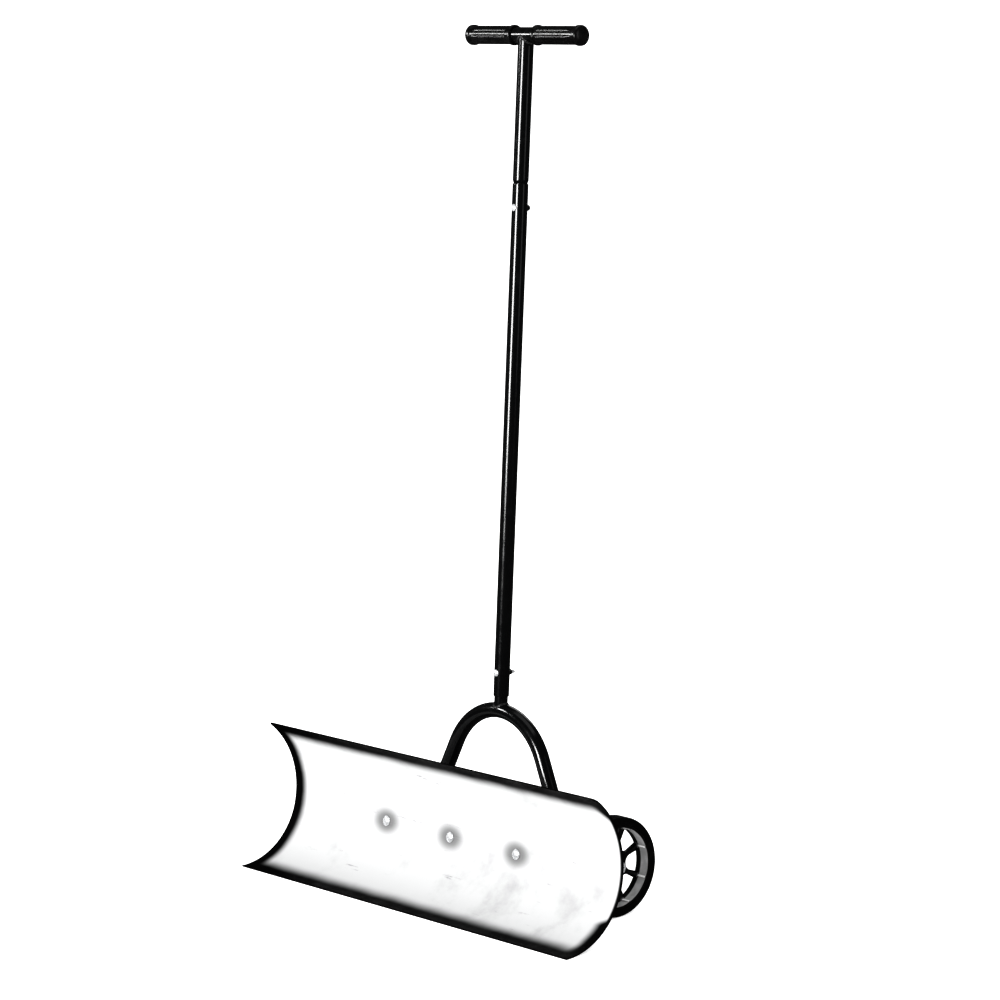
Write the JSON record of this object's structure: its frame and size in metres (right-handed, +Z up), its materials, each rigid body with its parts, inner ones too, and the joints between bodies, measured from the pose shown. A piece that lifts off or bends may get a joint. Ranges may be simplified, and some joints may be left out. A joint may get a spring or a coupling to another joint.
{
  "type": "wheeled snow pusher",
  "caption": "Manual snow pusher: a long curved steel blade on spoked wheels, with a bolted tubular pole, an arched yoke and a T-bar with rubber grips.",
  "frame": {"origin": "on the ground, in the middle of the blade's length and of the whole tool's depth", "axes": "+X along the blade to the right wheel, +Y back from the blade's hollow face to the wheels and the user, +Z up"},
  "size_m": [0.7556, 0.3632, 1.2954],
  "materials": {
    "blade_paint": "satin pale paint, black at the edges",
    "black_paint": "semi-gloss black powder coat",
    "zinc": "bright zinc plate",
    "dark_zinc": "black passivated zinc",
    "weld": "painted weld bead",
    "rim_plastic": "satin moulded plastic",
    "tyre_rubber": "matt black rubber",
    "bush_plastic": "satin grey nylon",
    "grip_rubber": "satin black fluted rubber"
  },
  "bodies": {
    "frame": {"blade": "blade_paint", "blade_bolts": "zinc", "blade_washers": "zinc", "blade_nuts": "zinc", "bracket_left": "black_paint", "bracket_centre": "black_paint", "bracket_right": "black_paint", "bracket_welds": "weld", "cross_beam": "black_paint", "beam_caps": "black_paint", "axle_rod": "zinc", "axle_washers": "zinc", "axle_caps": "zinc", "yoke_bend": "black_paint", "yoke_leg_left": "black_paint", "yoke_leg_right": "black_paint", "yoke_stub": "black_paint", "yoke_welds": "weld", "lower_tube": "black_paint", "upper_tube": "black_paint", "t_bar": "black_paint", "t_bar_weld": "weld", "grip_left": "grip_rubber", "grip_right": "grip_rubber", "joint_bolt_lower": "zinc", "joint_bolt_upper": "zinc", "joint_washers": "dark_zinc", "joint_nuts": "dark_zinc"},
    "wheel_left": {"rim_left": "rim_plastic", "spokes_left": "rim_plastic", "tyre_left": "tyre_rubber", "bush_left": "bush_plastic"},
    "wheel_right": {"rim_right": "rim_plastic", "spokes_right": "rim_plastic", "tyre_right": "tyre_rubber", "bush_right": "bush_plastic"}
  },
  "joints": [
    {"name": "wheel_left_spin", "type": "hinge", "parent": "frame", "child": "wheel_left", "pos_m": [-0.274, 0.01237, 0.075], "axis": [1, 0, 0], "continuous": true},
    {"name": "wheel_right_spin", "type": "hinge", "parent": "frame", "child": "wheel_right", "pos_m": [0.274, 0.01237, 0.075], "axis": [1, 0, 0], "continuous": true}
  ]
}
